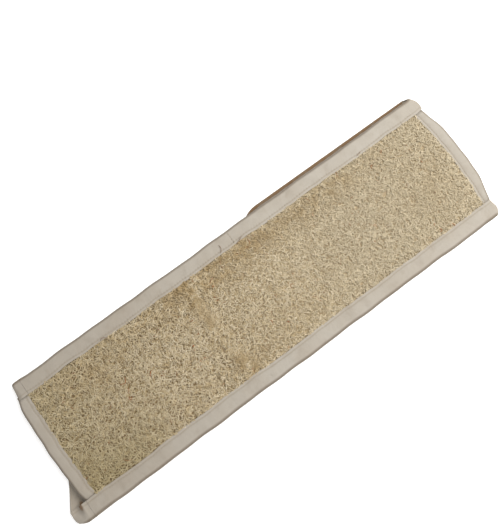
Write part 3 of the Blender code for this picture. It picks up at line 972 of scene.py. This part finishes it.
def fibre_lines(rng, x, y, length, heading, curl, depth, arch):
    """Middle lines of curled fibres: they rise out of the mat, wander and dive back into it."""
    count = len(x)
    share = np.linspace(0, 1, FIBRE_POINTS)[None]
    curve = rng.normal(0, curl, count)[:, None]
    wander = rng.normal(0, curl * 0.8, count)[:, None]
    phase = rng.uniform(0, 6, count)[:, None]
    angle = heading[:, None] + curve * (share - 0.5) + wander * np.sin(2 * np.pi * share + phase)
    step = (length / (FIBRE_POINTS - 1))[:, None]
    run_x = np.cumsum(np.cos(angle) * step, axis=1)
    run_y = np.cumsum(np.sin(angle) * step, axis=1)
    px = x[:, None] + run_x - run_x.mean(axis=1, keepdims=True)
    py = y[:, None] + run_y - run_y.mean(axis=1, keepdims=True)
    wave = 0.16 * np.sin(share * 9 + rng.uniform(0, 6, count)[:, None])
    rise = arch[:, None] * np.sin(np.pi * share) ** 0.6 + wave
    pz = loofah_height(px, py) - depth[:, None] + rise
    over_tape = np.maximum(np.abs(py) - INNER_Y, np.abs(px) - end_inner_x(px, py))
    tucked = FRONT - TAPE - 0.35
    pz = np.where(over_tape > 0.6, np.minimum(pz, tucked), pz)
    return np.stack([px, py, pz], -1)


# Brown spots of the loofah: how strong, the middle, and how far it reaches along and across the panel.
BROWN_SPOTS = (
    (0.82, (-25, 48), (75, 16)),
    (0.34, (-170, 40), (40, 25)),
    (0.5, (110, 46), (60, 13)),
    (0.22, (196, -12), (30, 32)),
    (0.28, (-50, -44), (75, 15)),
)


def patches_at(x, y):
    """How brown, green and pale the loofah is there: browner along the upper side and at the lap, greener to
    the left and paler to the right."""
    brown = 0.5 * np.exp(-(((x - lap_edge(y) - 3) / 7) ** 2))
    for strength, middle, reach in BROWN_SPOTS:
        brown += strength * spot(x, y, middle, reach)
    green = 0.45 * smooth_step((-x - 70) / 190) + 0.3 * smooth_step((-x - 120) / 60) * smooth_step(-y / 50)
    pale = 0.15 + 0.6 * smooth_step((x - 10) / 110)
    return {"brown": brown.clip(0, 0.7), "green": green.clip(0, 0.85), "pale": pale}


def fibres():
    rng = np.random.default_rng(22)
    x = rng.uniform(-HALF_LENGTH + 12, HALF_LENGTH - 12, FIBRE_COUNT)
    y = rng.uniform(-INNER_Y - 1.0, INNER_Y + 1.0, FIBRE_COUNT)
    keep = inside_panel(x, y, 1.2)
    x, y = x[keep], y[keep]
    count = len(x)
    heading = rng.uniform(0, np.pi * 2, count)
    length = rng.gamma(6, 1.05, count).clip(3, 14) * (1 + 0.12 * coarse(x))
    depth = rng.beta(1.5, 1.5, count) * (1.15 + 0.65 * coarse(x)) + 0.25
    arch = rng.uniform(0.3, 1.0, count)
    lines = fibre_lines(rng, x, y, length, heading, 2.2, depth, arch)
    thick = rng.gamma(9, 0.031, count).clip(0.15, 0.5) * (1 + 0.12 * coarse(x))
    taper = 1 - 0.35 * np.abs(np.linspace(-1, 1, FIBRE_POINTS)) ** 3
    radii = thick[:, None] * taper[None]
    # Deeper fibres get a lower tone, darker and browner: painted shade.
    tone = rng.beta(2.0, 1.7, count) - depth * 0.2 + 0.14
    tone = np.where(rng.random(count) < 0.004, 1.4, tone)
    edges = np.linspace(-HALF_LENGTH, HALF_LENGTH, FIBRE_BANDS + 1)
    for i in range(FIBRE_BANDS):
        pick = (x >= edges[i]) & (x < edges[i + 1])
        piece = tube_piece(f"loofah_fibres_{i + 1}", lines[pick], radii[pick], FIBRE, flatten=FIBRE_FLATNESS,
                           tone=tone[pick], **patches_at(x[pick], y[pick]))
        ride_on(piece, "fold")
        if i == 0:
            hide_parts("loofah_left")
        if i == FIBRE_BANDS - 1:
            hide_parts("loofah_right")


def lap_strands():
    """Longer strands across the panel where one loofah piece laps over the other."""
    rng = np.random.default_rng(23)
    count = LAP_STRANDS
    y = rng.uniform(-INNER_Y + 3, INNER_Y - 3, count)
    x = lap_edge(y) + rng.gamma(2.0, 3.2, count).clip(0, LAP_RIGHT - LAP_LEFT + 4)
    heading = np.pi / 2 + rng.normal(0.12, 0.33, count)
    length = rng.uniform(12, 30, count)
    depth, arch = rng.uniform(0.3, 1.1, count), rng.uniform(0.2, 0.5, count)
    lines = fibre_lines(rng, x, y, length, heading, 0.55, depth, arch)
    radii = rng.uniform(0.18, 0.32, count)[:, None] * np.ones(FIBRE_POINTS)[None]
    piece = tube_piece("loofah_lap_strands", lines, radii, FIBRE, flatten=FIBRE_FLATNESS,
                       tone=rng.uniform(0.05, 0.7, count), **patches_at(x, y))
    ride_on(piece, "fold")
    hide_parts("loofah_join_thread")


def loofah_floor(x, y):
    """Height of the mat under the fibres, lower where they are coarser."""
    return np.minimum(loofah_height(x, y), LOOFAH_TOP) - 1.35 - coarse(x) * 0.45


def loofah():
    ground = bed("loofah_bed", BED, loofah_floor)
    fibres()
    lap_strands()


def terry_ground():
    ground = bed("terry_ground", TERRY, lambda x, y: np.full(x.shape, TERRY_LOW + 2.4))
    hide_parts("terry_back_left", "terry_back_right")
    2 * INNER_Y / 1000 + 0.01


PILE_COUNT = 14000
PILE_POINTS = 5


def terry_pile():
    """The loops of the towelling, standing down from its ground."""
    rng = np.random.default_rng(24)
    x = rng.uniform(-HALF_LENGTH + 10, HALF_LENGTH - 10, PILE_COUNT)
    y = rng.uniform(-INNER_Y, INNER_Y, PILE_COUNT)
    keep = inside_panel(x, y, 0.3)
    x, y = x[keep], y[keep]
    count = len(x)
    heading = rng.uniform(0, 2 * np.pi, count)[:, None]
    turn = np.linspace(-0.2, np.pi + 0.2, PILE_POINTS)[None]
    wide = rng.uniform(0.7, 1.2, count)[:, None]
    deep = rng.uniform(0.9, 1.5, count)[:, None]
    swing = rng.normal(0, 0.5, (count, 2))[:, :, None] * np.sin(turn)[:, None].clip(0)
    lines = np.stack([
        x[:, None] + np.cos(turn) * wide * np.cos(heading) + swing[:, 0],
        y[:, None] + np.cos(turn) * wide * np.sin(heading) + swing[:, 1],
        TERRY_LOW + 1.45 - np.sin(turn) * deep,
    ], -1)
    radii = rng.uniform(0.33, 0.46, count)[:, None] * np.ones(PILE_POINTS)[None]
    for half, pick in (("left", x < 0), ("right", x >= 0)):
        piece = tube_piece(f"terry_loops_{half}", lines[pick], radii[pick], TERRY, sides=3,
                           tone=rng.random(pick.sum()))
        ride_on(piece, "fold")
        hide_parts(f"terry_back_{half}")


loofah()
terry_ground()
terry_pile()

# ---------------------------------------------------------------- floor

FLOOR_SIZE = 6.0
FLOOR_DROP = 0.0001


def floor():
    finish = Finish("floor_pale", 0.9)
    finish.shader.inputs["Base Color"].default_value = (0.93, 0.93, 0.925, 1)
    finish.shader.inputs["Emission Color"].default_value = (1, 1, 1, 1)
    finish.shader.inputs["Emission Strength"].default_value = 0.42
    half = FLOOR_SIZE / 2
    mesh = bpy.data.meshes.new("floor")
    corners = [(-half, -half, 0), (half, -half, 0), (half, half, 0), (-half, half, 0)]
    mesh.from_pydata(corners, [], [(0, 1, 2, 3)])
    made = bpy.data.objects.new("floor", mesh)
    made.location.z = -FLOOR_DROP
    bpy.context.scene.collection.objects.link(made)
    mesh.materials.append(finish.material)


floor()
